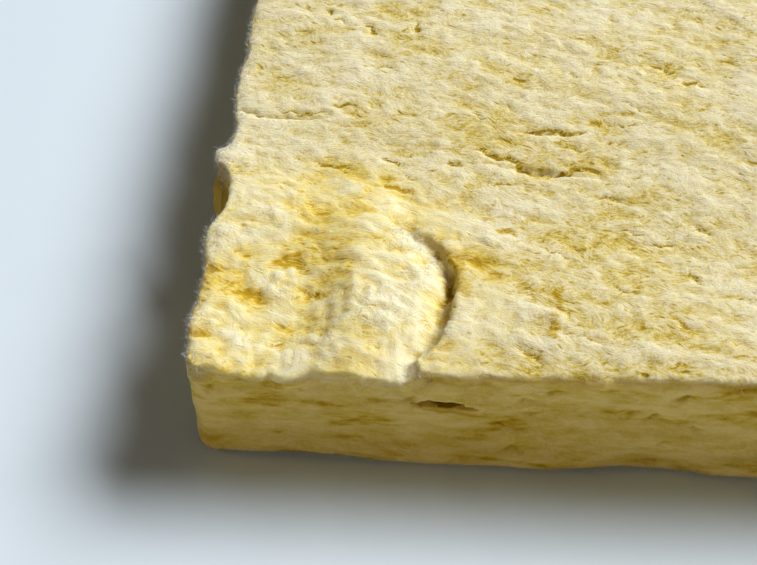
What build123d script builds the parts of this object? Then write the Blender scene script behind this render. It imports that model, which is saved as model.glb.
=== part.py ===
from build123d import *
import math
import os

# Glass wool insulation panel: one slab of bonded wool, as it lies flat on a floor.
# Millimetres. X runs across the panel, Y along it, Z up. The origin is the middle of
# the underside. Places on the torn corner are measured inwards from the two faces
# that meet there: in from the left edge (-X) and back from the front end (-Y).

# The slab
panel_length = 1200.0
panel_width = 600.0
panel_thickness = 50.0
corner_round = 6.0
top_arris = 3.0
bottom_arris = 2.5

# Waves left in the top by the oven belt, with their crests across the panel
wave_pitch = 150.0
wave_depth = 1.6
wave_slant = 0.35
wave_shift = 90.0
swell_pitch = 420.0
swell_depth = 1.0
wave_step = 25.0

# Creases pressed into the top: long thin hollows that run across the panel
crease_count = 22
crease_length = 46.0
crease_width = 3.4
crease_depth = 2.4
crease_margin = 70.0
crease_start = 200.0
crease_turn = 11.0

# The creases behind the torn corner: in, back, length, and turn in degrees
corner_creases = [
    (118.0, 101.0, 50.0, -8.0),
    (119.0, 122.0, 26.0, -3.0),
    (20.0, 126.0, 34.0, 0.0),
]

# Torn corner: a dished patch, and round its far side a crescent where the layer parted
dish_in = 35.0
dish_back = 28.0
dish_radius = 50.0
dish_depth = 6.0
tear_in = 49.0
tear_back = 33.0
tear_radius = 40.0
tear_bore = 4.0
tear_depth = 6.5
tear_heading = 12.0
tear_tilt = 22.0

# Lip of the torn patch, sagging over the front arris
lip_in = 64.0
lip_radius = 22.0
lip_depth = 6.5
lip_rise = 14.0

# Piece pulled out of the left edge, deepest at the top
bite_back = 80.0
bite_radius = 46.0
bite_depth = 4.5
bite_lean = 5.0

# Gap in the front end, where two layers have come apart
gap_in = 84.0
gap_below_top = 17.0
gap_length = 28.0
gap_height = 3.0
gap_arch = 2.4
gap_depth = 13.0
gap_end_share = 0.4

# Places where the underside lifts off the floor along the front end: in, and width
lifts = [(37.0, 60.0), (148.0, 44.0), (236.0, 70.0), (431.0, 84.0)]
lift_height = 1.8
lift_reach = 18.0

golden_share = (math.sqrt(5) - 1) / 2
left_edge = -panel_width / 2
front_end = -panel_length / 2
clear = 10.0


def chord_radius(chord, depth):
    """Radius of the circle of which a chord this long cuts off a cap this deep."""
    return (chord * chord / 4 + depth * depth) / (2 * depth)


def wave_height(x, y):
    """Height of the top over the floor, with its crests at the full thickness."""
    fold = math.sin(2 * math.pi * (y + wave_slant * x + wave_shift) / wave_pitch)
    drift = math.sin(2 * math.pi * (x - 0.4 * y) / swell_pitch)
    return panel_thickness - wave_depth * (1 - fold) / 2 - swell_depth * (1 - drift) / 2


def above_the_top():
    """Everything over the wavy top, to be cut from the slab."""
    across = math.ceil((panel_width + 2 * clear) / wave_step)
    along = math.ceil((panel_length + 2 * clear) / wave_step)
    rows = []
    for row in range(along + 1):
        y = front_end - clear + row * (panel_length + 2 * clear) / along
        line = []
        for column in range(across + 1):
            x = left_edge - clear + column * (panel_width + 2 * clear) / across
            line.append((x, y, wave_height(x, y)))
        rows.append(line)
    top_skin = Face.make_surface_from_array_of_points(rows, tol=0.02)
    return Solid.extrude(top_skin, (0, 0, panel_thickness))


def slab():
    """The whole panel, with its upright corners, its arrises and its wavy top."""
    to_floor = (Align.CENTER, Align.CENTER, Align.MIN)
    block = Box(panel_width, panel_length, panel_thickness, align=to_floor)
    block = fillet(block.edges().filter_by(Axis.Z), corner_round)
    block = fillet(block.faces().sort_by(Axis.Z)[0].edges(), bottom_arris)
    block = fillet(block.faces().sort_by(Axis.Z)[-1].edges(), top_arris)
    return block - above_the_top()


def crease(x, y, length, turn):
    """A thin lens on its edge, whose rim sinks into the top and leaves a crease."""
    rim = chord_radius(length, crease_depth)
    half_lens = crease_width / 2 * rim / crease_depth
    half_section = Polyline((-half_lens, 0), (half_lens, 0), (0, rim), (-half_lens, 0))
    wheel = revolve(make_face(half_section), Axis.X)
    centre_height = wave_height(x, y) - crease_depth + rim
    return Pos(x, y, centre_height) * Rot(0, 0, 90 + turn) * wheel


def creases():
    """The creases behind the corner, and more of them spread over the top."""
    cuts = []
    for inward, back, length, turn in corner_creases:
        cuts.append(crease(left_edge + inward, front_end + back, length, turn))
    for index in range(crease_count):
        across = (index * golden_share + 0.55) % 1
        along = (index + 0.5) / crease_count
        x = left_edge + crease_margin + across * (panel_width - 2 * crease_margin)
        y = front_end + crease_start + along * (panel_length - crease_start - crease_margin)
        length = crease_length * (0.7 + 0.6 * (index * 0.37 % 1))
        turn = crease_turn * math.sin(index * 2.4)
        cuts.append(crease(x, y, length, turn))
    return cuts


def corner_dish():
    """Ball that hollows out the torn patch of the corner."""
    ball_radius = chord_radius(2 * dish_radius, dish_depth)
    x = left_edge + dish_in
    y = front_end + dish_back
    return Pos(x, y, panel_thickness - dish_depth + ball_radius) * Sphere(ball_radius)


def crescent_tear():
    """Ring tilted so that it cuts a crescent, deepest at the tear's heading."""
    x = left_edge + tear_in
    y = front_end + tear_back
    ring = Rot(0, tear_tilt, 0) * Torus(tear_radius, tear_bore)
    drop = tear_radius * math.sin(math.radians(tear_tilt))
    centre_height = panel_thickness - tear_depth + tear_bore + drop
    return Pos(x, y, centre_height) * Rot(0, 0, tear_heading) * ring


def lip_sag():
    """Leaning drum that lets the lip of the patch sag over the front arris."""
    drum = Cylinder(lip_radius, 4 * lip_radius, align=(Align.CENTER, Align.CENTER, Align.MIN))
    along_y = Rot(-90 + lip_rise, 0, 0) * drum
    start = front_end - clear
    height = panel_thickness - lip_depth + lip_radius - clear * math.tan(math.radians(lip_rise))
    return Pos(left_edge + lip_in, start, height) * along_y


def edge_bite():
    """Leaning drum that takes a piece out of the left edge, most of it at the top."""
    drum = Cylinder(bite_radius, 4 * panel_thickness)
    x = left_edge + bite_depth - bite_radius
    y = front_end + bite_back
    return Pos(x, y, panel_thickness) * Rot(0, bite_lean, 0) * drum


def gap_mouth(share, depth):
    """Outline of the gap at a depth, as a share of its size at the front end."""
    half = gap_length / 2 * share
    upper = gap_arch + gap_height / 2 * share
    lower = gap_arch - gap_height / 2 * share
    ends = ((-half, 0), (half, 0))
    top_lip = ThreePointArc(ends[0], (0, upper), ends[1])
    low_lip = ThreePointArc(ends[1], (0, lower), ends[0])
    mouth = make_face([top_lip, low_lip])
    x = left_edge + gap_in
    height = panel_thickness - gap_below_top
    return Plane((x, front_end + depth, height), x_dir=(1, 0, 0), z_dir=(0, -1, 0)) * mouth


def layer_gap():
    """Crescent-mouthed gap that narrows as it goes into the end."""
    return loft([gap_mouth(1, -1), gap_mouth(gap_end_share, gap_depth)])


def floor_lift(inward, width):
    """Leaning drum under the front end that lifts the underside off the floor."""
    drum_radius = chord_radius(width, lift_height)
    lean = math.degrees(math.atan(lift_height / lift_reach))
    drum = Cylinder(drum_radius, 3 * lift_reach)
    middle = lift_height - drum_radius
    return Pos(left_edge + inward, front_end, middle) * Rot(-90 - lean, 0, 0) * drum


def panel():
    """The slab with its creases, its torn corner, its gap and its lifted places."""
    piece = slab()
    cuts = creases()
    cuts.append(corner_dish())
    cuts.append(crescent_tear())
    cuts.append(lip_sag())
    cuts.append(edge_bite())
    cuts.append(layer_gap())
    for inward, width in lifts:
        cuts.append(floor_lift(inward, width))
    for cut in cuts:
        piece = piece - cut
    return piece


os.makedirs("parts", exist_ok=True)
glass_wool_panel = panel()
export_step(glass_wool_panel, "parts/glass_wool_panel.step")
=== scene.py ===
import bmesh
import bpy
import math
import numpy as np
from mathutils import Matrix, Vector
from mathutils.bvhtree import BVHTree


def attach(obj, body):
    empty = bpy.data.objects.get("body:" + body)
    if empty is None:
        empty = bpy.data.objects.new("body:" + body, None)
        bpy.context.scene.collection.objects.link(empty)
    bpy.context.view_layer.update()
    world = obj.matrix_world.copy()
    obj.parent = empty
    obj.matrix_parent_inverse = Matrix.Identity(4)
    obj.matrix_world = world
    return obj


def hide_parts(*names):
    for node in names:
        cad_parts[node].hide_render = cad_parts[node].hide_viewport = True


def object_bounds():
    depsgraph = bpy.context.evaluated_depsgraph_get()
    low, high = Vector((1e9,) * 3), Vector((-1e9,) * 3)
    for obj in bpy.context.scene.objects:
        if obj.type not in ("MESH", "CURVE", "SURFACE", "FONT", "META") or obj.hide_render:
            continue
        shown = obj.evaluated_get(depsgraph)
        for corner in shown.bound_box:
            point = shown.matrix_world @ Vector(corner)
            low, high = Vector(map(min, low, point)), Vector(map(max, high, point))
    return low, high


# A panel of glass wool, lying flat. Everything is in metres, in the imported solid's frame.
# The wool is one closed skin seated on the solid, with six pieces of loose fibre on it.
# Places on the skin are in millimetres: in from the left edge, back from the front end
# and up from the floor.

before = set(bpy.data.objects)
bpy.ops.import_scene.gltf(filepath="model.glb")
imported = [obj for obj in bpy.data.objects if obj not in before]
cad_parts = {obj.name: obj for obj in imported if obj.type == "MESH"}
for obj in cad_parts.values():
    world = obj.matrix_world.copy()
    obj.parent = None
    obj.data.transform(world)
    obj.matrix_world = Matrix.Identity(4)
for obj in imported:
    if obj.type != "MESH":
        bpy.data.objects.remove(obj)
cad_low, cad_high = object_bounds()
MM = 0.001
left, front, ground = cad_low
right, back, top = cad_high

# Squares of the skin: wide under the panel, closer on its faces, closest at the corner
wide_square = 24 * MM
face_cuts = 3
corner_cuts = 5
corner_squares = 9
corner_reach = corner_squares * wide_square

# Near an arris, a point of the skin is seated on whatever of the solid is nearest
arris_band = 6 * MM
ray_start = 100 * MM
hair = 0.01 * MM

# Marks on the top, each as in, back, length, width, depth or height, and turn in degrees.
# Hollows of the torn patch, where the ochre layers under the surface show; their darker colour is partly
# painted shade
hollows = [
    (30, 48, 17, 5.5, 3.2, -22),
    (14, 52, 16, 2.2, 2.0, -6),
    (39, 35, 11, 3.4, 2.6, -22),
    (17, 34, 13, 5.0, 2.6, -32),
    (36, 19, 13, 2.6, 2.0, 4),
    (39, 12, 14, 2.0, 1.8, -9),
    (29, 11, 7, 4.5, 2.4, -30),
    (63, 57, 17, 2.2, 2.0, -27),
    (56, 39, 20, 2.2, 1.4, -24),
    (3, 45, 8, 4.5, 3.0, -45),
    (3, 14, 6, 4.0, 2.4, -40),
    (69, 30, 12, 2.0, 1.0, -39),
    (81, 52, 15, 3.4, 2.2, -62),
    (86, 39, 14, 5.0, 2.8, -75),
    (85, 26, 14, 2.8, 1.4, -97),
    (82, 13, 14, 2.6, 1.0, -108),
    (63, 9, 12, 2.2, 1.6, -82),
    (47, 8, 10, 1.8, 1.8, -72),
    (29, 9, 12, 2.2, 2.0, -66),
    (21, 10, 13, 2.2, 2.0, -80),
    (91, 52, 16, 4.0, 2.0, -30),
    (112, 38, 16, 5.0, 1.6, -60),
]

# Thin creases of the rest of the top
creases = [
    (49, 48, 7, 1.6, 1.0, -25),
    (41, 51, 5, 2.2, 1.2, -60),
    (125, 123, 25, 2.0, 2.6, -3),
    (103, 108, 18, 2.0, 2.8, -21),
    (115, 101, 13, 1.8, 2.6, -28),
    (128, 101, 15, 2.2, 3.0, 12),
    (137, 102, 9, 2.2, 2.4, -17),
    (105, 66, 11, 4.0, 1.2, -6),
    (152, 128, 15, 2.0, 1.6, 3),
    (134, 114, 7, 2.4, 1.6, -11),
    (151, 70, 11, 2.0, 1.6, -9),
    (124, 56, 10, 2.2, 2.0, -20),
    (5, 128, 9, 3.0, 2.8, -13),
    (26, 129, 18, 1.9, 2.6, 3),
    (41, 134, 11, 2.4, 1.8, -3),
    (32, 194, 5, 3.0, 2.2, -39),
    (36, 187, 6, 3.0, 2.2, -25),
    (50, 182, 9, 2.8, 2.2, -34),
    (69, 184, 6, 3.6, 2.0, -52),
    (53, 158, 15, 2.0, 1.8, -5),
    (62, 103, 8, 2.2, 2.4, -13),
    (86, 103, 7, 2.2, 2.2, -23),
    (40, 100, 17, 1.8, 1.8, -14),
    (66, 88, 13, 2.4, 2.4, -27),
    (69, 95, 9, 1.8, 1.6, -15),
    (23, 87, 8, 1.8, 1.6, -16),
    (95, 131, 7, 2.0, 1.8, -20),
    (111, 152, 6, 2.2, 1.6, -25),
    (134, 157, 6, 2.4, 1.6, -44),
    (170, 163, 12, 2.2, 1.6, -17),
    (180, 154, 10, 2.4, 2.2, -12),
    (155, 139, 11, 2.2, 1.4, -40),
    (147, 118, 7, 2.0, 1.6, -10),
    (104, 93, 12, 1.8, 1.6, -8),
    (143, 87, 10, 2.0, 1.6, -7),
    (176, 72, 8, 2.2, 1.6, -26),
    (160, 64, 9, 2.0, 1.6, -13),
    (124, 28, 10, 2.6, 1.4, -48),
    (130, 17, 15, 2.2, 1.2, -15),
    (113, 9, 9, 2.4, 1.8, -20),
    (163, 25, 9, 2.2, 1.8, -30),
    (171, 48, 10, 2.4, 1.6, -62),
    (146, 40, 12, 2.0, 1.6, -20),
]

# Puffs: soft pale clumps that stand up, their paleness partly painted light. The first three are the rim of
# the crescent
puffs = [
    (68, 57, 26, 17, 2.0, -46),
    (73, 45, 26, 18, 2.4, -70),
    (73, 32, 22, 16, 1.8, -92),
    (15, 66, 36, 20, 1.8, -4),
    (6, 58, 14, 12, 2.4, -60),
    (26, 39, 23, 11, 2.4, -52),
    (12, 27, 16, 7, 1.8, -40),
    (6, 20, 13, 8, 2.4, 3),
    (8, 4, 20, 7, 1.6, -17),
    (64, 23, 34, 22, 2.6, -24),
    (56, 48, 32, 7, 0.9, -32),
    (52, 35, 24, 6, 0.8, -18),
    (35, 25, 24, 8, 1.0, 3),
    (90, 20, 14, 18, 1.2, 0),
    (98, 61, 22, 9, 2.2, -30),
    (108, 50, 12, 9, 1.6, -60),
    (118, 27, 20, 8, 1.4, -16),
    (112, 15, 22, 5, 1.4, -8),
    (92, 8, 20, 6, 1.2, -4),
    (148, 12, 34, 7, 1.4, -3),
    (0, 100, 12, 9, 2.4, 8),
    (5, 76, 16, 9, 1.8, 80),
    (45, 149, 30, 9, 0.9, -78),
    (63, 158, 24, 9, 0.8, -79),
    (17, 190, 14, 8, 0.8, -70),
    (43, 177, 18, 8, 0.7, -73),
]

# Tufts combed from back to front
combed_tufts = [
    (72, 8, 24, 16, 2.4, -84),
    (38, 8, 20, 14, 1.8, -76),
    (15, 11, 22, 10, 1.8, -82),
]

# Which way the fibres lie, in degrees: over the top, in the torn corner and combed
usual_lay = -12
torn_lay = -24
combed_lay = -80

# The torn corner: its centre in and back, where it fades out, and how high its wool stands
torn_centre = (40, 36)
torn_fade = (44, 76)
torn_level = 49.4

# The crescent: the puffs that make its rim, the centre that it bends round, the radius of
# its trough, and how far in it starts
rim_marks = 3
rim_centre = (49, 33)
trough_radius = 41
crescent_start = (62, 74)

# The lip: how far in its middle is, half its length, and how far it bends to the left
lip_in = 86
lip_reach = 13
lip_bend = 3.4

# The gap in the front end: its centre in and up, how far round it the wool moves, and how
# far aside and down, with a slant. Its mouth narrows towards the height of its middle
gap_centre = (84, 33)
gap_reach = (26, 9)
gap_aside = 3.0
gap_lower = 3.2
gap_slant = 0.07
mouth_centre = (84, 34)
mouth_reach = (18, 5)
mouth_narrows = 0.45

# Broad rises of the top: behind the front end, and inside the crescent
rises = [
    (200, 0, 200, 90, 3.4, 0),
    (57, 36, 70, 44, 1.8, -70),
]

# Honey-coloured patches of the torn corner, with a strength as the last but one number
honey_patches = [
    (38, 56, 34, 24, 0.6, -50),
    (30, 33, 28, 20, 0.8, -10),
    (34, 21, 30, 16, 1.2, -6),
    (16, 24, 30, 16, 1.0, -20),
    (4, 38, 16, 26, 0.9, 0),
    (19, 50, 14, 12, 0.5, 0),
    (7, 10, 16, 9, 0.6, 0),
    (36, 10, 20, 8, 0.6, 0),
    (82, 22, 14, 10, 0.5, -60),
    (91, 55, 20, 12, 0.5, -40),
    (101, 46, 32, 20, 1.6, -15),
    (122, 26, 12, 40, 0.8, 0),
    (150, 16, 120, 40, 0.4, 0),
]

# Ochre stains of the binder, soft-edged: the last but one number is a strength. Those along the crescent's
# trough, 84 to 90 in, are partly painted shade on its floor and walls
stains_and_shade = [
    (31, 48, 18, 7, 0.8, -24),
    (17, 34, 17, 8, 0.9, -30),
    (39, 35, 11, 4.5, 0.9, -24),
    (36, 21, 22, 6, 0.5, 4),
    (39, 12, 14, 3, 0.7, -9),
    (29, 11, 9, 6, 0.9, -30),
    (3, 15, 9, 7, 0.8, -38),
    (4, 45, 9, 6, 0.7, -38),
    (49, 70, 14, 9, 0.5, -50),
    (50, 56, 16, 8, 0.4, -20),
    (80, 22, 18, 8, 0.6, -59),
    (11, 1, 16, 3, 0.9, -8),
    (105, 66, 12, 5, 1.1, -6),
    (84, 55, 18, 4.5, 1.3, -62),
    (90, 41, 18, 6, 1.5, -72),
    (88, 27, 18, 5, 0.9, -97),
    (84, 12, 18, 5, 0.7, -104),
    (94, 50, 20, 7, 0.6, -30),
    (113, 36, 20, 9, 0.6, -60),
    (99, 73, 8, 4, 1.0, -30),
    (101, 46, 20, 9, 0.5, -15),
    (123, 34, 18, 4, 1.2, 76),
    (121, 19, 18, 4, 1.2, -86),
    (163, 24, 14, 4, 1.1, -45),
    (94, 102, 16, 8, 0.4, -10),
    (60, 180, 16, 10, 0.4, -10),
]

# How far the left side and the front end stand out, or in if negative, from the solid:
# back or in, up, length, height, distance and turn
left_swells = [
    (2, 22, 14, 44, 1.6, 0),
    (20, 44, 18, 30, 1.8, 0),
    (40, 46, 20, 30, 0.8, 0),
    (62, 42, 22, 34, 2.2, 0),
    (90, 22, 46, 36, 5.0, 0),
    (96, 36, 22, 16, 2.6, 0),
    (101, 48, 9, 10, 3.2, 0),
    (116, 46, 16, 26, -1.4, 0),
    (146, 40, 30, 40, 1.8, 0),
    (186, 40, 30, 40, 1.2, 0),
]
end_swells = [
    (30, 5, 40, 12, 1.0, 0),
    (86, 4, 80, 16, 2.4, 0),
    (128, 5, 30, 12, 1.4, 0),
    (160, 8, 26, 14, -1.4, 0),
    (190, 5, 30, 14, 2.0, 0),
    (150, 45, 90, 10, 1.2, 0),
    (14, 47, 11, 9, 1.6, 0),
    (22, 46, 8, 10, 2.2, 0),
    (33, 46, 10, 10, 2.6, 0),
    (48, 47, 12, 7, 1.2, 0),
    (64, 46, 20, 10, 3.4, 0),
    (90, 47, 14, 7, 1.4, 0),
    (108, 47, 18, 7, 1.0, 0),
    (134, 47, 10, 8, 1.6, 0),
]

# Ochre of the bitten left side, which lies in shade, so partly painted shade: back, up, length, height,
# strength and turn
left_stains_and_shade = [
    (90, 30, 36, 38, 1.3, 0),
    (50, 40, 16, 10, 0.8, 0),
]

# Ochre bands of the front end, those at 76 to 94 in round the gap partly painted shade: in, up, length,
# height, strength and turn
end_stains_and_shade = [
    (90, 45, 34, 5, 0.8, -2),
    (76, 35, 18, 3.4, 0.8, 8),
    (94, 30, 12, 2.6, 0.7, -10),
    (86, 31, 30, 2.6, 1.0, -6),
]

# Pits of the front end: in, up, length, height, depth and turn
end_pits = [
    (6, 36, 6, 5.0, 1.8, -50),
    (19, 43, 5, 3.0, 1.4, 0),
    (15, 23, 9, 2.6, 1.2, -7),
    (38, 15, 8, 2.2, 1.0, 0),
    (54, 21, 11, 2.4, 1.4, -4),
    (73, 36, 9, 2.2, 1.4, 4),
    (108, 23, 20, 3.0, 1.8, -12),
    (121, 42, 9, 2.8, 1.8, 4),
    (112, 37, 10, 2.6, 1.6, 4),
    (114, 32, 9, 2.2, 1.4, 4),
    (110, 12, 9, 3.0, 1.6, 4),
    (144, 40, 7, 3.2, 1.8, 4),
    (147, 32, 5, 3.2, 1.6, 4),
    (155, 29, 9, 3.4, 1.8, 4),
    (163, 40, 8, 3.6, 2.2, 50),
    (170, 26, 9, 2.6, 1.8, -11),
    (160, 17, 7, 3.0, 1.6, 4),
]

# Colours of the wool, linear, from its deepest hollows to its whitest crests, so that hollows are partly
# painted shade and crests partly painted light
wool_colours = [
    (0.00, (0.42, 0.27, 0.014, 1)),
    (0.22, (0.62, 0.48, 0.10, 1)),
    (0.40, (0.72, 0.61, 0.27, 1)),
    (0.60, (0.78, 0.70, 0.43, 1)),
    (0.95, (0.85, 0.79, 0.56, 1)),
]
# The same of the torn corner, which is cleaner and yellower, and lighter in its middle tones as partly
# painted light
torn_colours = [
    (0.00, (0.58, 0.37, 0.02, 1)),
    (0.22, (0.79, 0.59, 0.11, 1)),
    (0.40, (0.83, 0.69, 0.26, 1)),
    (0.62, (0.84, 0.74, 0.37, 1)),
    (0.90, (0.86, 0.80, 0.55, 1)),
]
# Colours of its cut sides, which the binder makes darker
cut_colours = [
    (0.00, (0.28, 0.16, 0.004, 1)),
    (0.12, (0.46, 0.27, 0.008, 1)),
    (0.34, (0.61, 0.43, 0.065, 1)),
    (0.70, (0.75, 0.57, 0.19, 1)),
]
# Colour of the stains, also used as painted shade in the trough
stain_and_shade_colour = (0.60, 0.39, 0.025, 1)

# Colours of single fibres
pale_fibre = (0.92, 0.74, 0.19, 1)
cream_fibre = (0.86, 0.64, 0.12, 1)
white_fibre = (0.97, 0.82, 0.24, 1)

# Sizes of the wool's patterns in millimetres: along the folds, across them and up
swell_size = (74, 36, 30)
fold_size = (22, 11, 10)
clump_size = (13, 9, 9)
ripple_size = (8, 4.8, 4.4)
tuft_size = (4.6, 3.9, 3.9)
flake_size = (9, 6, 6)
crack_size = (5.5, 1.9, 1.9)
fleck_size = (6, 2.2, 2.2)
blotch_size = (5, 2.2, 2.2)
fuzz_size = (1.4, 1.2, 1.2)
patch_size = (70, 50, 50)
short_strand = (3.6, 0.9, 0.9)
long_strand = (9, 0.9, 0.9)
combed_strand = (0.9, 10, 0.9)
combed_fold = (2.6, 14, 6)
# Sizes of the patterns of its cut sides
mottle_size = (22, 9, 8)
streak_size = (14, 3.4, 3.4)
smudge_size = (26, 8, 7)

# How high the relief of the skin stands, in millimetres
relief_heights = {
    "Swells": 1.2,
    "Folds": 0.4,
    "Ripples": 0.6,
    "Clumps": 0.5,
    "Torn clumps": 0.7,
    "Tufts": 1.0,
}

# Noise hardly ever leaves this range, which is spread out to fill 0 to 1
noise_low = 0.27
noise_high = 0.73

# How the wool's patterns are pushed about: the size of each sway, and how far it pushes
wide_sway_size = (40, 28, 28)
wide_sway = 9.0
close_sway_size = (9, 6, 6)
close_sway = 3.6

# How the lay, the tufts and the curl of loose fibres change from place to place
wander_size = (9, 7, 7)
gathered_size = (5, 4, 4)
curl_size = (2.6, 2.6, 2.6)
curl_reach = 2 * MM

# The shortest and the longest loose fibre, as shares of the length of its piece
shortest = 0.55
longest = 1.5

# One number for each random draw of a fibre, so that no draw copies another
shape_draw = 3
lift_draw = 5
size_draw = 7
stray_draw = 11

# The pieces of loose fibre: name, the attribute that says how dense it is, colour, and the
# values that the labels name, with lengths in millimetres and lifts in degrees
fibre_labels = ("Length", "Thickness", "Lift low", "Lift high", "Wander", "Stray", "Curl", "Tuft", "Seed")
loose_fibres = [
    ("pale_nap", "nap", pale_fibre, (4.0, 0.1, 0.0, 7.0, 1.2, 0.8, 1.0, 0.0, 1)),
    ("cream_nap", "nap", cream_fibre, (4.0, 0.1, 0.0, 7.0, 1.2, 0.8, 1.0, 0.0, 2)),
    ("combed_strands", "strands", pale_fibre, (6.0, 0.12, 0.0, 5.0, 0.7, 0.3, 0.7, 0.0, 3)),
    ("down", "down", white_fibre, (2.8, 0.1, 4.0, 30.0, 1.2, 0.4, 0.5, 0.6, 4)),
    ("fringe", "fringe", pale_fibre, (2.8, 0.12, 5.0, 60.0, 1.2, 1.6, 0.8, 0.0, 6)),
    ("wisps", "wisps", cream_fibre, (10.0, 0.3, 0.0, 8.0, 1.2, 0.8, 1.5, 0.0, 5)),
]

# How the wool, its loose fibres and the floor take the light
wool_surface = {
    "Roughness": 0.9,
    "Diffuse Roughness": 0.5,
    "Specular IOR Level": 0.1,
    "Subsurface Weight": 0.7,
    "Subsurface Radius": (1.0, 0.85, 0.30),
    "Subsurface Scale": 4.0 * MM,
}
fibre_surface = {"Roughness": 0.8, "Specular IOR Level": 0.1}
floor_surface = {"Base Color": (0.70, 0.80, 0.89, 1), "Roughness": 0.6}

# The corners of the floor, in metres
floor_corners = [(-6.0, -6.0, 0), (6.0, -6.0, 0), (6.0, 6.0, 0), (-6.0, 6.0, 0)]

# The lamps: offset from the torn corner and size in metres, strength in watts, and colour
key_lamp = ((4.36, 2.77, 4.64), (4.55, 3.08), 765, (1.0, 1.0, 1.0))
fill_lamp = ((-0.23, -1.55, 0.40), (1.1, 1.1), 4.1, (1.0, 0.84, 0.60))
sky_colour = (1.0, 0.88, 0.76, 1)
sky_strength = 0.062

# The camera: how far in from the left edge, before the front end and up, then its angles
# in degrees and its lens in millimetres
camera_in = 78.76 * MM
camera_before = 263.02 * MM
camera_up = 384.42 * MM
camera_pitch = 47.89
camera_yaw = -3.36
camera_lens = 62.13


class Net:
    """Sets the nodes of a tree and wires them, so that a rule reads step by step."""

    def __init__(self, tree):
        self.tree = tree

    def feed(self, socket, value):
        """Gives a socket its value, or wires it to the socket that the value comes from."""
        if isinstance(value, bpy.types.NodeSocket):
            self.tree.links.new(value, socket)
        else:
            socket.default_value = value

    def node(self, kind, wires=None, **settings):
        made = self.tree.nodes.new(kind)
        for name, value in settings.items():
            setattr(made, name, value)
        for socket, value in (wires or {}).items():
            self.feed(made.inputs[socket], value)
        return made

    def calc(self, operation, *values):
        return self.node("ShaderNodeMath", dict(enumerate(values)), operation=operation).outputs[0]

    def plus(self, *values):
        total = values[0]
        for value in values[1:]:
            total = self.calc("ADD", total, value)
        return total

    def minus(self, first, second):
        return self.calc("SUBTRACT", first, second)

    def times(self, *values):
        product = values[0]
        for value in values[1:]:
            product = self.calc("MULTIPLY", product, value)
        return product

    def vector(self, operation, *values):
        return self.node("ShaderNodeVectorMath", dict(enumerate(values)), operation=operation).outputs[0]

    def stretch(self, place, amount):
        return self.node("ShaderNodeVectorMath", {0: place, 3: amount}, operation="SCALE").outputs[0]

    def mix(self, share, first, second):
        """A number between two, by a share."""
        return self.node("ShaderNodeMix", {0: share, 2: first, 3: second}).outputs[0]

    def blend(self, share, first, second):
        """A colour between two, by a share."""
        return self.node("ShaderNodeMix", {0: share, 6: first, 7: second}, data_type="RGBA").outputs[2]

    def step(self, value, low, high):
        """Rises smoothly from 0 at low to 1 at high."""
        wires = {0: value, 1: low, 2: high}
        return self.node("ShaderNodeMapRange", wires, interpolation_type="SMOOTHSTEP").outputs[0]

    def ramp(self, value, colours):
        """Colour at a value from 0 to 1, along a list of places and colours."""
        made = self.node("ShaderNodeValToRGB", {0: value})
        stops = made.color_ramp.elements
        while len(stops) < len(colours):
            stops.new(0.5)
        for stop, (place, colour) in zip(stops, colours):
            stop.position = place
            stop.color = colour
        return made.outputs[0]

    def split(self, place):
        return self.node("ShaderNodeSeparateXYZ", {0: place}).outputs

    def join(self, x, y, z):
        return self.node("ShaderNodeCombineXYZ", {0: x, 1: y, 2: z}).outputs[0]

    def noise(self, place, size, detail=1.0, rough=0.5):
        """Noise with one lump in each size, which is in millimetres along three axes."""
        place = self.vector("DIVIDE", place, size)
        wires = {"Vector": place, "Scale": 1.0, "Detail": detail, "Roughness": rough}
        return self.node("ShaderNodeTexNoise", wires)

    def turned(self, place, angle):
        """The place turned about the upright axis, by an angle in radians."""
        wires = {"Vector": place, "Angle": angle}
        return self.node("ShaderNodeVectorRotate", wires, rotation_type="Z_AXIS").outputs[0]

    def lumps(self, place, size, detail=1.0, rough=0.5):
        """The same noise as a height, spread out to fill 0 to 1."""
        return self.step(self.noise(place, size, detail, rough).outputs[0], noise_low, noise_high)

    def cells(self, place, size):
        """Cells of that size, like the flakes of the wool."""
        wires = {"Vector": self.vector("DIVIDE", place, size), "Scale": 1.0}
        return self.node("ShaderNodeTexVoronoi", wires, feature="F1")

    def dot(self, first, second):
        return self.node("ShaderNodeVectorMath", {0: first, 1: second}, operation="DOT_PRODUCT").outputs[1]

    def tilt(self, cells):
        """A height that slopes a different way over each cell."""
        there = cells.inputs["Vector"].links[0].from_socket
        spread = self.vector("SUBTRACT", there, cells.outputs["Position"])
        lean = self.vector("SUBTRACT", cells.outputs["Color"], (0.5, 0.5, 0.5))
        return self.times(self.dot(spread, lean), 2.0)

    def drift(self, place, size, detail=1.0):
        """A direction that wanders from place to place, each part from -0.5 to 0.5."""
        return self.vector("SUBTRACT", self.noise(place, size, detail).outputs[1], (0.5, 0.5, 0.5))

    def stored(self, name, kind="FLOAT"):
        """An attribute of the mesh, read in a geometry tree."""
        return self.node("GeometryNodeInputNamedAttribute", {"Name": name}, data_type=kind).outputs[0]


def bedding(net, place, long_side):
    """Turns a place so that its first axis runs along the folds and layers there."""
    x, y, z = net.split(place)
    slant = math.radians(usual_lay)
    along = net.plus(net.times(x, math.cos(slant)), net.times(y, math.sin(slant)))
    across = net.minus(net.times(y, math.cos(slant)), net.times(x, math.sin(slant)))
    return net.join(net.mix(long_side, along, y), net.mix(long_side, across, x), z)


def swayed(net, place):
    """The place pushed about, so that nothing laid over it runs straight."""
    wide = net.stretch(net.drift(place, wide_sway_size), wide_sway)
    close = net.stretch(net.drift(place, close_sway_size), close_sway)
    return net.vector("ADD", place, net.vector("ADD", wide, close))


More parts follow.
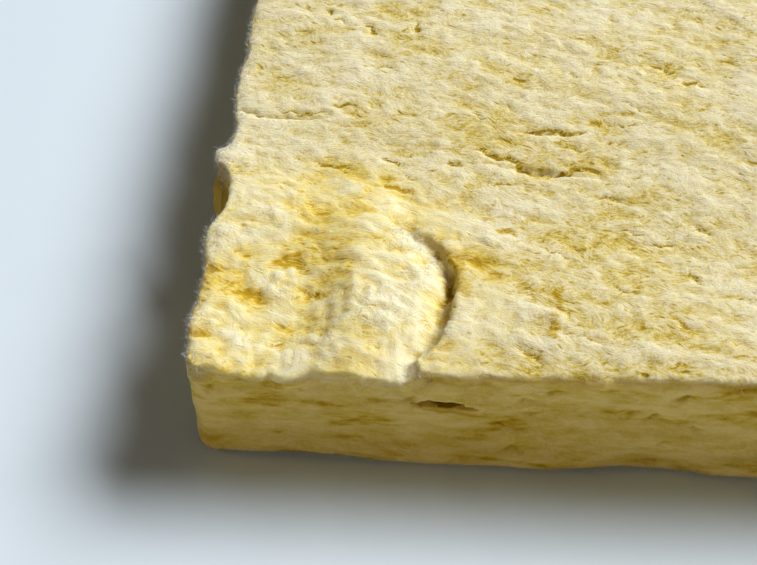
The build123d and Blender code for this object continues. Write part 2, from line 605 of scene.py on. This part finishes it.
def wool_forms(net, place, long_side, combed):
    """Heights of the forms of the wool, each 0 to 1, and the places they were made at."""
    bed = bedding(net, place, long_side)
    bent = swayed(net, bed)
    return {
        "bed": bed,
        "bent": bent,
        "swells": net.lumps(bed, swell_size),
        "folds": net.mix(combed, net.lumps(bent, fold_size), net.lumps(place, combed_fold)),
        "ripples": net.lumps(bent, ripple_size, 2.0, 0.55),
        "clumps": net.lumps(bent, clump_size, 2.0, 0.55),
        "tufts": net.lumps(bent, tuft_size, 2.0, 0.55),
    }


def group_tree(name, inputs):
    """An empty geometry tree with named inputs, its net, and its two ends."""
    tree = bpy.data.node_groups.new(name, "GeometryNodeTree")
    tree.interface.new_socket("Geometry", in_out="INPUT", socket_type="NodeSocketGeometry")
    for label, value in inputs.items():
        kind = "NodeSocketInt" if isinstance(value, int) else "NodeSocketFloat"
        tree.interface.new_socket(label, in_out="INPUT", socket_type=kind).default_value = value
    tree.interface.new_socket("Geometry", in_out="OUTPUT", socket_type="NodeSocketGeometry")
    start = tree.nodes.new("NodeGroupInput")
    end = tree.nodes.new("NodeGroupOutput")
    return tree, Net(tree), start.outputs, end.inputs


def grown(piece, tree, values, name):
    """A new plain mesh: what the tree makes of the piece with these values."""
    modifier = piece.modifiers.new("grow", "NODES")
    modifier.node_group = tree
    for item in tree.interface.items_tree:
        if item.in_out == "INPUT" and item.name in values:
            modifier[item.identifier] = values[item.name]
    depsgraph = bpy.context.evaluated_depsgraph_get()
    mesh = bpy.data.meshes.new_from_object(piece.evaluated_get(depsgraph), depsgraph=depsgraph)
    mesh.name = name
    piece.modifiers.remove(modifier)
    return mesh


def placed(name, data):
    """A new object in the scene, which shows a mesh, a lamp or a camera."""
    made = bpy.data.objects.new(name, data)
    bpy.context.collection.objects.link(made)
    return made


def attribute(mesh, name, values):
    """Keeps one number for each point of the mesh."""
    layer = mesh.attributes.new(name, "FLOAT", "POINT")
    layer.data.foreach_set("value", np.asarray(values, dtype=np.float32))


def points_of(mesh):
    """Where the points of the mesh are, in one row each."""
    flat = np.empty(len(mesh.vertices) * 3, dtype=np.float32)
    mesh.vertices.foreach_get("co", flat)
    return flat.reshape(-1, 3).astype(float)


def set_points(mesh, points):
    """Moves the points, and lifts to the floor what would lie under it."""
    points[:, 2] = np.maximum(points[:, 2], ground)
    mesh.vertices.foreach_set("co", points.astype(np.float32).ravel())
    mesh.update()


def skin_cage():
    """A closed box of squares on the panel's six faces."""
    counts = [round((high - low) / wide_square) for low, high in zip(cad_low, cad_high)]
    across, along, deep = counts
    cage = bmesh.new()
    knots = {}

    def knot(*steps):
        if steps not in knots:
            shares = [step / count for step, count in zip(steps, counts)]
            place = [low + (high - low) * share for low, high, share in zip(cad_low, cad_high, shares)]
            knots[steps] = cage.verts.new(place)
        return knots[steps]

    def square(*corners):
        cage.faces.new([knot(*corner) for corner in corners])

    for i in range(across):
        for j in range(along):
            square((i, j, deep), (i + 1, j, deep), (i + 1, j + 1, deep), (i, j + 1, deep))
            square((i, j, 0), (i, j + 1, 0), (i + 1, j + 1, 0), (i + 1, j, 0))
        for k in range(deep):
            square((i, 0, k), (i + 1, 0, k), (i + 1, 0, k + 1), (i, 0, k + 1))
            square((i, along, k), (i, along, k + 1), (i + 1, along, k + 1), (i + 1, along, k))
    for j in range(along):
        for k in range(deep):
            square((0, j, k), (0, j, k + 1), (0, j + 1, k + 1), (0, j + 1, k))
            square((across, j, k), (across, j + 1, k), (across, j + 1, k + 1), (across, j, k + 1))

    cage.normal_update()
    shown = [edge for edge in cage.edges if any(face.normal.z > -0.5 for face in edge.link_faces)]
    bmesh.ops.subdivide_edges(cage, edges=shown, cuts=face_cuts, use_grid_fill=True)
    cage.normal_update()
    reach_x = left + corner_reach + MM
    reach_y = front + corner_reach + MM
    near = []
    for edge in cage.edges:
        inside = all(vert.co.x < reach_x and vert.co.y < reach_y for vert in edge.verts)
        if inside and any(face.normal.z > -0.5 for face in edge.link_faces):
            near.append(edge)
    bmesh.ops.subdivide_edges(cage, edges=near, cuts=corner_cuts, use_grid_fill=True)
    bmesh.ops.recalc_face_normals(cage, faces=cage.faces)
    mesh = bpy.data.meshes.new("skin_cage")
    cage.to_mesh(mesh)
    cage.free()
    return mesh


def seat_on_solid(points, node):
    """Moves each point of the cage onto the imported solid, with its hollows and rounds."""
    corners = [node.matrix_world @ vertex.co for vertex in node.data.vertices]
    solid = BVHTree.FromPolygons(corners, [face.vertices[:] for face in node.data.polygons])

    def met(x, y, z, heading):
        """Where a line from outside meets the solid, or else the solid's nearest point."""
        aim = Vector((x, y, z))
        hit = solid.ray_cast(aim - Vector(heading) * ray_start, Vector(heading))[0]
        return solid.find_nearest(aim)[0] if hit is None else hit

    seated = points.copy()
    for index, (x, y, z) in enumerate(points):
        to_side = min(x - left, right - x)
        to_end = min(y - front, back - y)
        inside = min(to_side, to_end) >= arris_band
        level = top
        if not inside:
            inner_x = min(max(x, left + arris_band), right - arris_band)
            inner_y = min(max(y, front + arris_band), back - arris_band)
            level = met(inner_x, inner_y, top, (0, 0, -1)).z
        height = ground + (z - ground) * (level - ground) / (top - ground)
        upright = arris_band < height - ground and height < level - arris_band
        if z > top - hair and inside:
            seated[index] = met(x, y, top, (0, 0, -1))
        elif z < ground + hair and inside:
            seated[index] = (x, y, ground)
        elif upright and to_side < hair and to_end > arris_band:
            seated[index] = met(x, y, height, (1 if x < 0 else -1, 0, 0))
        elif upright and to_end < hair and to_side > arris_band:
            seated[index] = met(x, y, height, (0, 1 if y < 0 else -1, 0))
        else:
            seated[index] = solid.find_nearest(Vector((x, y, height)))[0]
    return seated


def smooth_share(values, low, high):
    """Rises smoothly from 0 at low to 1 at high."""
    share = np.clip((values - low) / (high - low), 0, 1)
    return share * share * (3 - 2 * share)


def faded(values, low, high):
    """Falls smoothly from 1 at low to 0 at high."""
    return 1 - smooth_share(values, low, high)


def away_from(centre, first, second):
    return np.hypot(first - centre[0], second - centre[1])


def hump(values, middle, reach):
    """1 at the middle, and less on both sides of it."""
    return np.exp(-(((values - middle) / reach) ** 2))


def mound(first, second, centre, reach):
    """1 at the centre, and less all round it."""
    return np.exp(-(((first - centre[0]) / reach[0]) ** 2) - ((second - centre[1]) / reach[1]) ** 2)


def marked(first, second, marks, waver=1.0, steep=1.0, blunt=4):
    """One row for each mark: its height at each place. Outlines waver, and one side is steep."""
    rows = []
    for mark_first, mark_second, length, width, height, turn in marks:
        cos, sin = math.cos(math.radians(turn)), math.sin(math.radians(turn))
        along = (first - mark_first) * cos + (second - mark_second) * sin
        across = (second - mark_second) * cos - (first - mark_first) * sin
        sway = 0.30 * np.sin(0.45 * along + mark_first) + 0.16 * np.sin(1.1 * along + mark_second)
        across = across + waver * min(width, 4) * sway
        across = np.where(across > 0, across * steep, across)
        lengthwise = np.exp(-((2 * along / length) ** blunt))
        rows.append(height * np.exp(-((2 * across / width) ** 2)) * lengthwise)
    return np.array(rows)


class Skin:
    """The seated skin: where its points are in millimetres, and which forms are there."""

    def __init__(self, cage, points):
        self.inward = (points[:, 0] - left) / MM
        self.behind = (points[:, 1] - front) / MM
        self.up = (points[:, 2] - ground) / MM
        self.to_side = np.minimum(self.inward, (right - left) / MM - self.inward)
        self.to_end = np.minimum(self.behind, (back - front) / MM - self.behind)
        self.on_top = smooth_share(cage[:, 2], top - 1.5 * MM, top - 0.5 * MM)
        self.cut = 1 - self.on_top
        self.on_end = (cage[:, 1] < front + MM / 2) * self.cut
        self.on_left = self.inward < 8
        self.raised = smooth_share(self.up, 20, 48)
        self.by_corner = faded(away_from(torn_centre, self.inward, self.behind), *torn_fade)
        self.torn = self.by_corner * self.on_top
        self.ragged = self.cut * self.by_corner * smooth_share(self.up, 24, 44)
        reach = corner_reach / MM
        self.near = faded(self.inward, reach - 26, reach - 6) * faded(self.behind, reach - 26, reach - 6)
        self.long_side = (self.to_side < 2.5) * (self.on_top < 0.5) * smooth_share(self.to_end, 6, 12)
        self.find_dents()
        self.find_puffs()
        self.find_gap()
        self.find_crescent()
        self.find_edges()

    def over_top(self, marks, **outline):
        return marked(self.inward, self.behind, marks, **outline)

    def over_side(self, marks, **outline):
        return marked(self.behind, self.up, marks, **outline)

    def over_end(self, marks, **outline):
        return marked(self.inward, self.up, marks, **outline)

    def find_dents(self):
        """Depths of the hollows and creases of the top, and of the pits of the front end."""
        shaded_hollow = 0.3 * self.over_top(hollows, steep=1.4, blunt=2).max(axis=0) * self.on_top
        crease = 0.5 * self.over_top(creases, waver=1.3, steep=1.6).max(axis=0) * self.on_top
        self.dent = np.maximum(shaded_hollow, crease)
        self.pit = 0.6 * self.over_end(end_pits, blunt=2).max(axis=0) * self.on_end
        self.bare = 0.6 * smooth_share(self.dent + self.pit, 0.6, 1.4)

    def find_puffs(self):
        """The puffs and the combed tufts, and how fluffy or combed they make the wool."""
        rows = self.over_top(puffs, waver=0.8, steep=0.7, blunt=2)
        puffed = rows.max(axis=0)
        tufted = self.over_top(combed_tufts, waver=0.3, blunt=2).max(axis=0)
        # How much paler the puffs are painted: partly their own paler fluff, partly painted light
        self.pale_and_lit_puff = np.maximum(puffed, tufted) * self.raised
        self.puff_height = 0.5 * np.maximum(puffed, 0.8 * tufted) * self.raised
        self.combed = 0.75 * smooth_share(tufted, 0.2, 1.6) * self.on_top
        self.fluffy = smooth_share(puffed, 0.9, 2.0) * (1 - self.combed) * self.raised
        self.on_rim = smooth_share(rows[:rim_marks].max(axis=0), 0.5, 1.8) * self.on_top

    def find_gap(self):
        """Where the gap in the front end goes in, and how far the wool round it moves."""
        middle = smooth_share(self.to_side, 8, 12) * smooth_share(self.up, 8, 12) * faded(self.up, 40, 44)
        self.in_gap = smooth_share(self.behind, 0.2, 1.2) * middle * self.on_end
        self.by_gap = mound(self.inward, self.up, gap_centre, gap_reach) * self.on_end
        by_mouth = mound(self.inward, self.up, mouth_centre, mouth_reach)
        narrowed = mouth_narrows * (self.up - mouth_centre[1]) * by_mouth * self.on_end
        lowered = gap_lower + gap_slant * (self.inward - gap_centre[0])
        self.gap_drop = lowered * self.by_gap + narrowed

    def find_crescent(self):
        """The crescent, and the fluffed wool that partly fills the dish inside it."""
        inward, behind, up = self.inward, self.behind, self.up
        self.from_rim = away_from(rim_centre, inward, behind)
        by_crescent = smooth_share(inward, *crescent_start) * self.on_top
        self.trough = faded(np.abs(self.from_rim - trough_radius), 2, 5) * by_crescent
        filled_to = torn_level + 1.4 * smooth_share(inward, 36, 50) - 2.4 * smooth_share(inward, 50, 78)
        filled_to = filled_to - 2.8 * smooth_share(self.from_rim, 26, 39) * by_crescent
        fullness = (0.3 + 0.6 * smooth_share(inward, 32, 56)) * (0.75 + 0.25 * smooth_share(behind, 0, 8))
        open_part = 0.2 + 0.8 * hump(behind, 44, 10)
        fill = fullness * self.by_corner * self.on_top * (1 - self.trough * open_part)
        lowered = faded(self.from_rim, 37, 40) * by_crescent
        self.fill = fill * np.maximum(filled_to - up, 0) + lowered * np.minimum(filled_to - up, 0)

    def find_edges(self):
        """The top edges and the foot of the sides and ends, where the wool is teased."""
        by_arris = faded(np.minimum(self.to_side, self.to_end), 1.0, 4.0)
        self.edge = by_arris * smooth_share(self.up, 38, 44)
        self.under = faded(self.up, 1.0, 5.0) * self.cut
        self.hem = self.under * by_arris

    def shift(self):
        """How far each point moves off the solid, in metres."""
        out_left = self.over_side(left_swells, waver=0.3).sum(axis=0) * faded(self.inward, 0, 9)
        out_front = self.over_end(end_swells, waver=0.3).sum(axis=0) * faded(self.behind, 0, 9)
        bend = lip_bend * hump(self.inward, lip_in, lip_reach) * faded(self.behind, 24, 48) * self.on_top
        rise = self.over_top(rises, waver=0, blunt=2).sum(axis=0) * self.raised
        across = gap_aside * self.by_gap - out_left - bend
        upward = self.fill + rise + self.puff_height - self.dent - self.gap_drop
        return np.stack([across, self.pit - out_front, upward], axis=1) * MM

    def stain_and_shade(self):
        """Strength of the ochre stains of the top, the left side and the front end, partly painted shade in
        the trough, on the shaded left side and round the gap.
        """
        top_stain_and_shade = self.over_top(stains_and_shade, waver=0.8, blunt=2).max(axis=0) * self.on_top
        side_stain_and_shade = self.over_side(left_stains_and_shade, waver=0.5).max(axis=0) * self.on_left
        end_stain_and_shade = self.over_end(end_stains_and_shade, waver=0.5).max(axis=0) * self.on_end * (1 - self.in_gap)
        return np.maximum(np.maximum(top_stain_and_shade, side_stain_and_shade), end_stain_and_shade)

    def lay(self):
        """Where the fibres point: along the folds, out from the crescent, or as combed."""
        angle = np.radians(usual_lay + (torn_lay - usual_lay) * self.torn)
        angle = np.where(self.long_side > 0.5, math.pi / 2, angle)
        combed_angle = math.radians(combed_lay)
        lay_x = np.cos(angle) * (1 - self.combed) + math.cos(combed_angle) * self.combed
        lay_y = np.sin(angle) * (1 - self.combed) + math.sin(combed_angle) * self.combed
        on_ring = np.maximum(self.on_rim, self.trough * self.on_top)
        outward = np.arctan2(self.behind - rim_centre[1], self.inward - rim_centre[0])
        lay_x = lay_x * (1 - on_ring) + np.cos(outward) * on_ring
        lay_y = lay_y * (1 - on_ring) + np.sin(outward) * on_ring
        return lay_x, lay_y

    def looks(self):
        """What the relief and the material read, each by the name that they read it by."""
        left_side = self.cut * self.on_left * smooth_share(self.up, 8, 30)
        lay_x, lay_y = self.lay()
        return {
            "near": self.near,
            "long_side": self.long_side,
            "cut": self.cut,
            "combed": self.combed,
            "torn": self.torn,
            "rough": self.on_top + self.cut * 0.3 + np.maximum(self.ragged * 0.9, left_side * 0.6),
            "fluffy": np.maximum(self.fluffy, self.ragged),
            # Painted shade: darker colour in the hollows, creases and pits and inside the gap of the front
            # end
            "shaded_hollow": 1.8 * self.dent + self.pit + 2.0 * self.in_gap,
            # Paler puffs, partly painted light
            "pale_and_lit_puff": self.pale_and_lit_puff,
            # Stains, partly painted shade in the trough, on the left side and round the gap
            "stain_and_shade": self.stain_and_shade(),
            "honey": self.over_top(honey_patches, blunt=2).max(axis=0) * self.on_top,
            "lay_x": lay_x,
            "lay_y": lay_y,
        }

    def growth(self):
        """How many loose fibres of each kind grow on a square millimetre."""
        shown = self.near * (1 - self.bare) * smooth_share(self.up, 0.2, 5.0)
        on_nap = 0.01 * (1 - self.bare) + 0.4 * self.trough * self.on_top
        on_down = 4.0 * self.on_rim * smooth_share(self.from_rim, 33, 38) + 0.10 * self.fluffy
        left_edge = self.edge * (self.inward < 6)
        return {
            "nap": self.near * on_nap * (1 - self.cut),
            "strands": shown * self.combed * smooth_share(self.behind, 2, 6) * 0.2,
            "down": shown * on_down * self.on_top,
            "fringe": self.near * (2.2 * left_edge + 0.05 * self.edge + 2.0 * self.hem),
            "wisps": (1 - self.near) * (1 - self.under) * (0.010 + 0.10 * self.edge),
        }


def wool_skin(node):
    """The panel's whole surface, with the forms that the corner shows, and where fibre grows."""
    mesh = skin_cage()
    cage = points_of(mesh)
    points = seat_on_solid(cage, node)
    skin = Skin(cage, points)
    set_points(mesh, points + skin.shift())
    for name, values in (skin.looks() | skin.growth()).items():
        attribute(mesh, name, values)
    return mesh


def relief_tree():
    """Raises the skin by its forms, the smaller ones only where the squares are close."""
    tree, net, given, made = group_tree("wool relief", dict.fromkeys(relief_heights, 0.0))
    place = net.stretch(net.node("GeometryNodeInputPosition").outputs[0], 1 / MM)
    wires = {"Geometry": given["Geometry"], "Name": "laid", "Value": place}
    kept = net.node("GeometryNodeStoreNamedAttribute", wires, data_type="FLOAT_VECTOR", domain="POINT")
    forms = wool_forms(net, place, net.stored("long_side"), net.stored("combed"))
    broad = net.times(net.minus(forms["swells"], 0.5), given["Swells"])
    folds = net.times(net.minus(forms["folds"], 0.5), given["Folds"])
    ripples = net.times(net.minus(forms["ripples"], 0.5), given["Ripples"])
    clump_height = net.mix(net.stored("torn"), given["Clumps"], given["Torn clumps"])
    clumps = net.times(net.minus(forms["clumps"], 0.5), clump_height)
    cottony = net.plus(net.times(net.stored("fluffy"), 0.6), net.times(net.stored("torn"), 0.3), 0.4)
    tufts = net.times(net.minus(forms["tufts"], 0.5), net.times(given["Tufts"], cottony))
    fine = net.times(net.plus(folds, ripples, clumps, tufts), net.stored("near"), net.stored("rough"))
    height = net.times(net.plus(broad, fine), MM)
    shift = net.stretch(net.node("GeometryNodeInputNormal").outputs[0], height)
    raised = net.node("GeometryNodeSetPosition", {"Geometry": kept.outputs[0], "Offset": shift})
    net.feed(made["Geometry"], raised.outputs[0])
    return tree


def wool_patterns(net, stored):
    """The forms of the wool, and its finer patterns, which its colour and bump are mixed from."""
    place = net.node("ShaderNodeAttribute", attribute_name="laid").outputs["Vector"]
    seen = wool_forms(net, place, stored["long_side"], stored["combed"])
    bed, bent = seen["bed"], seen["bent"]
    flakes = net.cells(bent, flake_size)
    flake_turn, flake_shade, _ = net.split(flakes.outputs["Color"])
    turn = net.times(net.minus(flake_turn, 0.6), net.minus(1.0, stored["cut"]), 1.2)
    grain = net.turned(bent, turn)
    short_strands = net.lumps(grain, short_strand, 2.0, 0.6)
    long_strands = net.lumps(grain, long_strand, 2.0, 0.6)
    strands = net.mix(stored["torn"], short_strands, long_strands)
    seen["strands"] = net.mix(stored["combed"], strands, net.lumps(place, combed_strand, 2.0, 0.6))
    seen["slope"] = net.tilt(flakes)
    seen["flake_shade"] = flake_shade
    seen["fuzz"] = net.lumps(bent, fuzz_size, 3.0, 0.7)
    seen["patches"] = net.lumps(bed, patch_size)
    # Thin cracks, dented in the bump; the darkening they give the colour is painted shade
    seen["crack"] = net.step(net.noise(grain, crack_size).outputs[0], 0.36, 0.23)
    seen["flecks"] = net.step(net.noise(grain, fleck_size, 2.0).outputs[0], 0.62, 0.72)
    blotch = net.noise(bent, blotch_size, 3.0, 0.7).outputs[0]
    seen["broken"] = net.minus(2.0, net.plus(blotch, net.times(seen["strands"], 0.8)))
    return seen


def top_colour(net, stored, seen):
    """Colour of the top: pale on crests and puffs and honey in hollows, partly as painted light and shade,
    and ochre in stains, some of them painted shade.
    """
    # Paler on the crests of the folds, ripples and clumps and darker in their valleys: partly the wool's own
    # tone, partly painted light and shade
    tone = net.plus(net.times(seen["folds"], 0.18), net.times(seen["ripples"], 0.20))
    tone = net.plus(tone, net.times(seen["clumps"], 0.20), net.times(seen["strands"], 0.28))
    tone = net.plus(tone, net.times(seen["fuzz"], 0.20), net.times(net.minus(seen["patches"], 0.5), 0.12))
    # Painted highlight: paler on the puffs, partly their own paler fluff
    tone = net.plus(tone, net.times(stored["pale_and_lit_puff"], 0.15))
    tone = net.plus(net.times(net.minus(tone, 0.5), net.mix(stored["torn"], 1.3, 1.0)), 0.5)
    # Painted shade in the hollows, creases, pits and the gap
    shaded_hollow = net.step(net.times(stored["shaded_hollow"], seen["broken"]), 0.3, 1.7)
    tone = net.minus(tone, net.times(shaded_hollow, 0.5))
    clump_tone = net.times(net.minus(seen["clumps"], 0.5), 0.24)
    flake_tone = net.times(net.minus(seen["flake_shade"], 0.5), 0.18)
    torn_tone = net.times(net.plus(clump_tone, flake_tone), stored["torn"])
    # Paler on the crests of the tufts of fluffy wool, partly painted light
    tuft_tone = net.times(net.minus(seen["tufts"], 0.45), stored["fluffy"], 0.30)
    tone = net.plus(tone, torn_tone, tuft_tone, net.times(stored["honey"], -0.24))
    # Painted shade along the thin cracks
    tone = net.minus(tone, net.times(seen["crack"], net.mix(stored["torn"], 0.30, 0.16)))
    # Ochre stains, which in the trough are also painted shade
    stain_and_shade = net.step(net.times(stored["stain_and_shade"], seen["broken"]), 0.35, 1.15)
    tone = net.minus(tone, net.plus(net.times(stain_and_shade, 0.26), net.times(seen["flecks"], 0.26)))
    colour = net.blend(stored["torn"], net.ramp(tone, wool_colours), net.ramp(tone, torn_colours))
    return net.blend(net.times(stain_and_shade, 0.4), colour, stain_and_shade_colour)


def side_colour(net, stored, seen):
    """Colour of the cut sides: streaked and mottled with binder, darkest in the pits and the gap, which is
    painted shade.
    """
    mottle = net.noise(seen["bent"], mottle_size, 3.0, 0.6).outputs[0]
    streaks = net.noise(seen["bent"], streak_size, 2.0, 0.6).outputs[0]
    smudges = net.noise(seen["bed"], smudge_size, 2.0, 0.5).outputs[0]
    tone = net.plus(mottle, net.times(streaks, 0.8), net.times(seen["fuzz"], 0.16), -0.44)
    tone = net.minus(tone, net.times(net.step(smudges, 0.56, 0.70), 0.30))
    # Painted shade: darker in the pits and the gap of the front end
    tone = net.minus(tone, net.times(net.step(stored["shaded_hollow"], 0.2, 1.4), 0.5))
    # Ochre of the sides, partly painted shade on the bitten left side and round the gap
    stain_and_shade = net.step(stored["stain_and_shade"], 0.2, 1.0)
    return net.blend(net.times(stain_and_shade, 0.8), net.ramp(tone, cut_colours), cut_colours[1][1])


def bump_height(net, stored, seen):
    """Height of the finest relief, in millimetres, with coarser forms away from the corner."""
    away = net.minus(1.0, stored["near"])
    height = net.plus(net.times(seen["folds"], away), net.times(seen["ripples"], away, 0.6))
    height = net.plus(height, net.times(seen["clumps"], away, 0.4), net.times(seen["crack"], -0.3))
    height = net.plus(height, net.times(seen["slope"], net.mix(stored["torn"], 0.04, 0.12)))
    fuzz_height = net.plus(net.mix(stored["torn"], 0.18, 0.12), net.times(stored["fluffy"], 0.14))
    height = net.plus(height, net.times(seen["strands"], 0.09), net.times(seen["fuzz"], fuzz_height))
    return net.times(height, net.mix(stored["cut"], 1.0, 1.3))


def new_material(name, surface):
    """A material, and its shader with the values of that surface."""
    material = bpy.data.materials.new(name)
    material.use_nodes = True
    shader = material.node_tree.nodes["Principled BSDF"]
    for label, value in surface.items():
        shader.inputs[label].default_value = value
    return material, shader


def wool_material():
    """Glass wool, matt and slightly translucent, with its colours and finest relief."""
    material, shader = new_material("glass wool", wool_surface)
    net = Net(material.node_tree)
    stored = {}
    for name in ("long_side", "near", "cut", "combed", "torn", "fluffy", "shaded_hollow", "pale_and_lit_puff", "stain_and_shade", "honey"):
        stored[name] = net.node("ShaderNodeAttribute", attribute_name=name).outputs["Fac"]
    seen = wool_patterns(net, stored)
    top_and_side = top_colour(net, stored, seen), side_colour(net, stored, seen)
    net.feed(shader.inputs["Base Color"], net.blend(stored["cut"], *top_and_side))
    wires = {"Height": bump_height(net, stored, seen), "Strength": 1.0, "Distance": MM}
    net.feed(shader.inputs["Normal"], net.node("ShaderNodeBump", wires).outputs[0])
    return material


def fibre_shapes(net, slimness):
    """Three flat tapered slivers, one unit long, which bend by different amounts."""
    flatness = 0.35
    cone = {"Vertices": 3, "Side Segments": 2, "Radius Top": 0.0, "Radius Bottom": slimness, "Depth": 1.0}
    shapes = net.node("GeometryNodeJoinGeometry")
    for droop in (0.12, 0.3, 0.5):
        spike = net.node("GeometryNodeMeshCone", cone, fill_type="NGON")
        depth, _, height = net.split(net.node("GeometryNodeInputPosition").outputs[0])
        flattening = net.times(depth, flatness - 1)
        offset = net.join(net.minus(flattening, net.times(height, height, droop)), 0.0, 0.0)
        bent = net.node("GeometryNodeSetPosition", {"Geometry": spike.outputs[0], "Offset": offset})
        single = net.node("GeometryNodeGeometryToInstance", {0: bent.outputs[0]})
        net.feed(shapes.inputs[0], single.outputs[0])
    return shapes.outputs[0]


def fibre_heading(net, given, normal):
    """Which way each fibre points: along the lay, astray, in tufts, and lifted off the skin."""
    place = net.stretch(net.node("GeometryNodeInputPosition").outputs[0], 1 / MM)
    lay = net.join(net.stored("lay_x"), net.stored("lay_y"), 0.0)
    lay = net.vector("ADD", lay, net.stretch(net.drift(place, wander_size, 2.0), given["Wander"]))
    wires = {0: (-1, -1, -1), 1: (1, 1, 1), 8: stray_draw}
    stray = net.node("FunctionNodeRandomValue", wires, data_type="FLOAT_VECTOR").outputs[0]
    lay = net.vector("ADD", lay, net.stretch(stray, given["Stray"]))
    tufts = net.cells(place, gathered_size)
    here = net.vector("DIVIDE", place, gathered_size)
    to_tuft = net.vector("SUBTRACT", tufts.outputs["Position"], here)
    lay = net.vector("ADD", lay, net.stretch(to_tuft, given["Tuft"]))
    lay = net.vector("SUBTRACT", lay, net.stretch(normal, net.dot(lay, normal)))
    lay = net.vector("NORMALIZE", lay)
    wires = {2: given["Lift low"], 3: given["Lift high"], 8: lift_draw}
    lift = net.calc("RADIANS", net.node("FunctionNodeRandomValue", wires).outputs[1])
    flat_part = net.stretch(lay, net.calc("COSINE", lift))
    return net.vector("ADD", flat_part, net.stretch(normal, net.calc("SINE", lift)))


def fibre_tree(where, material, values):
    """Strews fibres over the skin, laid along its lay and drooping back to it."""
    tree, net, given, made = group_tree(where, values)
    density = net.times(net.stored(where), 1 / MM ** 2)
    wires = {"Mesh": given["Geometry"], "Density": density, "Seed": given["Seed"]}
    strewn = net.node("GeometryNodeDistributePointsOnFaces", wires)
    normal = strewn.outputs["Normal"]
    wires = {"Primary Axis": fibre_heading(net, given, normal), "Secondary Axis": normal}
    turned = net.node("FunctionNodeAxesToRotation", wires, primary_axis="Z", secondary_axis="X")

    slimness = net.calc("DIVIDE", net.times(given["Thickness"], 0.5), given["Length"])
    size = net.node("FunctionNodeRandomValue", {2: shortest, 3: longest, 8: size_draw}).outputs[1]
    size = net.times(size, given["Length"], MM)
    shape = net.node("FunctionNodeRandomValue", {4: 0, 5: 2, 8: shape_draw}, data_type="INT").outputs[2]
    wires = {
        "Points": strewn.outputs["Points"],
        "Instance": fibre_shapes(net, slimness),
        "Instance Index": shape,
        "Pick Instance": True,
        "Rotation": turned.outputs[0],
        "Scale": net.join(size, size, size),
    }
    laid = net.node("GeometryNodeInstanceOnPoints", wires)
    real = net.node("GeometryNodeRealizeInstances", {0: laid.outputs[0]})
    place = net.stretch(net.node("GeometryNodeInputPosition").outputs[0], 1 / MM)
    shift = net.stretch(net.drift(place, curl_size), net.times(given["Curl"], curl_reach))
    curled = net.node("GeometryNodeSetPosition", {"Geometry": real.outputs[0], "Offset": shift})
    painted = net.node("GeometryNodeSetMaterial", {"Geometry": curled.outputs[0], "Material": material})
    net.feed(made["Geometry"], painted.outputs[0])
    return tree


def make_fibres(wool, name, where, colour, numbers):
    """One piece of loose fibre, as dense as the skin's attribute says."""
    values = dict(zip(fibre_labels, numbers))
    material, _ = new_material(name.replace("_", " "), fibre_surface | {"Base Color": colour})
    mesh = grown(wool, fibre_tree(where, material, values), values, name)
    set_points(mesh, points_of(mesh))
    spare = [layer.name for layer in mesh.attributes if not layer.is_internal and not layer.is_required]
    for layer in spare:
        mesh.attributes.remove(mesh.attributes[layer])
    fibres = placed(name, mesh)
    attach(fibres, "root")


def make_wool(node):
    """The wool itself: the skin with its relief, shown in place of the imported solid."""
    cage = placed("cage", wool_skin(node))
    mesh = grown(cage, relief_tree(), relief_heights, "glass_wool")
    set_points(mesh, points_of(mesh))
    bpy.data.objects.remove(cage)
    mesh.materials.clear()
    mesh.materials.append(wool_material())
    mesh.shade_smooth()
    wool = placed("glass_wool", mesh)
    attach(wool, "root")
    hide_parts("glass_wool_panel")
    return wool


def make_floor():
    """The pale floor that the panel lies on."""
    mesh = bpy.data.meshes.new("floor")
    mesh.from_pydata(floor_corners, [], [(0, 1, 2, 3)])
    material, _ = new_material("pale floor", floor_surface)
    mesh.materials.append(material)
    floor = placed("floor", mesh)


def make_lamp(name, offset, size, energy, colour):
    """A soft lamp, aimed at the torn corner from an offset in metres."""
    light = bpy.data.lights.new(name, "AREA")
    light.shape = "RECTANGLE"
    light.size, light.size_y = size
    light.energy = energy
    light.color = colour
    lamp = placed(name, light)
    aim = Vector((left + 0.1, front + 0.1, top))
    lamp.location = aim + Vector(offset)
    lamp.rotation_euler = (aim - lamp.location).to_track_quat("-Z", "Y").to_euler()


def make_lights():
    """A large soft lamp, a weak warm one before the front end, and a dim sky."""
    make_lamp("key", *key_lamp)
    make_lamp("fill", *fill_lamp)
    world = bpy.data.worlds.new("studio")
    world.use_nodes = True
    sky = world.node_tree.nodes["Background"]
    sky.inputs[0].default_value = sky_colour
    sky.inputs[1].default_value = sky_strength
    bpy.context.scene.world = world


def make_camera():
    """Looks down on the torn corner as the photo does."""
    data = bpy.data.cameras.new("camera")
    data.sensor_width = 36
    data.lens = camera_lens
    data.clip_start = 0.01
    camera = placed("camera", data)
    pitch = math.radians(camera_pitch)
    yaw = math.radians(camera_yaw)
    level = math.cos(pitch)
    heading = Vector((math.sin(yaw) * level, math.cos(yaw) * level, -math.sin(pitch)))
    camera.location = (left + camera_in, front - camera_before, camera_up)
    camera.rotation_euler = heading.to_track_quat("-Z", "Y").to_euler()
    bpy.context.scene.camera = camera


make_camera()
make_lights()
make_floor()
wool = make_wool(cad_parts["glass_wool_panel"])
for piece in loose_fibres:
    make_fibres(wool, *piece)

bpy.context.scene.view_settings.view_transform = "Standard"
